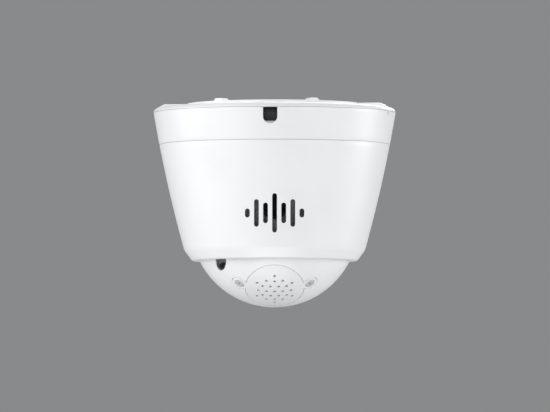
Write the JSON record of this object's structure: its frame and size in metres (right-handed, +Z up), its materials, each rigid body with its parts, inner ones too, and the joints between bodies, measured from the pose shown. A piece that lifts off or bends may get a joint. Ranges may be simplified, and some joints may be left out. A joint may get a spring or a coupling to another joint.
{
  "type": "ceiling turret camera",
  "caption": "Ceiling surveillance camera: a tapered round housing with sound slots holds a ball that pans, tilts and rolls, with the lens in its flat face.",
  "frame": {"origin": "middle of the face that rests on the ceiling, on the housing's axis", "axes": "+Z up into the ceiling; -Y towards the side with the cable notch and the sound slots; the lens looks towards +Y and down; +X right when seen from the -Y side"},
  "size_m": [0.127, 0.127, 0.108],
  "materials": {
    "white_shell": "satin",
    "black_rubber": "matte",
    "grey_gasket": "matte",
    "bearing_plastic": "satin",
    "zinc_plate": "satin",
    "screw_steel": "satin",
    "black_plastic": "satin",
    "speaker_paper": "matte",
    "bare_aluminium": "satin",
    "circuit_board": "satin",
    "dark_window": "gloss",
    "lens_glass": "gloss",
    "clear_led": "gloss",
    "dark_led": "gloss",
    "red_button": "gloss"
  },
  "bodies": {
    "base": {"mounting_base": "white_shell", "base_seal": "black_rubber", "cable_grommet": "black_rubber"},
    "housing": {"upper_collar": "white_shell", "side_entry_plug": "black_rubber", "cone_shell": "white_shell", "collar_screw_1": "screw_steel", "collar_screw_2": "screw_steel", "collar_screw_3": "screw_steel", "clamp_ring": "zinc_plate", "clamp_screw_1": "screw_steel", "clamp_screw_2": "screw_steel", "clamp_screw_3": "screw_steel", "wave_spring": "screw_steel", "seat_ring": "bearing_plastic", "speaker_gasket": "grey_gasket", "speaker_driver": "black_plastic", "speaker_cone": "speaker_paper"},
    "pan": {"pan_cup": "bearing_plastic"},
    "tilt": {"tilt_shoe": "bearing_plastic"},
    "ball": {"ball_rear_shell": "white_shell", "front_bezel": "white_shell", "front_window": "dark_window", "front_mask": "black_plastic", "lens_barrel": "black_plastic", "lens_front_glass": "lens_glass", "lens_holder": "black_plastic", "image_sensor": "lens_glass", "sensor_board": "circuit_board", "led_board": "circuit_board", "white_led_1": "clear_led", "white_led_2": "clear_led", "infrared_led_1": "dark_led", "infrared_led_2": "dark_led", "heat_sink": "bare_aluminium", "main_board": "circuit_board", "processor": "black_plastic", "power_connector": "bearing_plastic", "service_board": "circuit_board", "card_slot": "screw_steel", "memory_card": "black_plastic", "sounder": "black_plastic", "microphone": "screw_steel", "reset_switch": "black_plastic", "grille_cover": "white_shell", "cover_gasket": "black_rubber", "cover_screw_1": "screw_steel", "cover_screw_2": "screw_steel", "cable_bush": "zinc_plate", "bush_nut": "zinc_plate"},
    "button": {"reset_button": "red_button"},
    "lock": {"lock_screw": "screw_steel"}
  },
  "joints": [
    {"name": "housing_twist", "type": "hinge", "parent": "base", "child": "housing", "pos_m": [0, 0, -0.0125], "axis": [0, 0, 1], "range_deg": [-30, 0]},
    {"name": "pan_turn", "type": "hinge", "parent": "housing", "child": "pan", "pos_m": [0, 0, -0.0639], "axis": [0, 0, 1], "range_deg": [-175, 175]},
    {"name": "tilt_swing", "type": "hinge", "parent": "pan", "child": "tilt", "pos_m": [0, 0, -0.0639], "axis": [1, 0, 0], "range_deg": [-40, 10]},
    {"name": "roll_turn", "type": "hinge", "parent": "tilt", "child": "ball", "pos_m": [0, 0, -0.0639], "axis": [0, 0.6428, -0.766], "range_deg": [-170, 170]},
    {"name": "reset_press", "type": "slide", "parent": "ball", "child": "button", "axis": [0, 0.5563, 0.831], "range_m": [0, 0.0006], "stiffness_N_per_m": 1500},
    {"name": "lock_screw_turn", "type": "hinge", "parent": "ball", "child": "lock", "pos_m": [-0.0279, -0.02646, -0.0857], "axis": [-0.2203, -0.9213, 0.3204], "range_deg": [0, 180]}
  ]
}
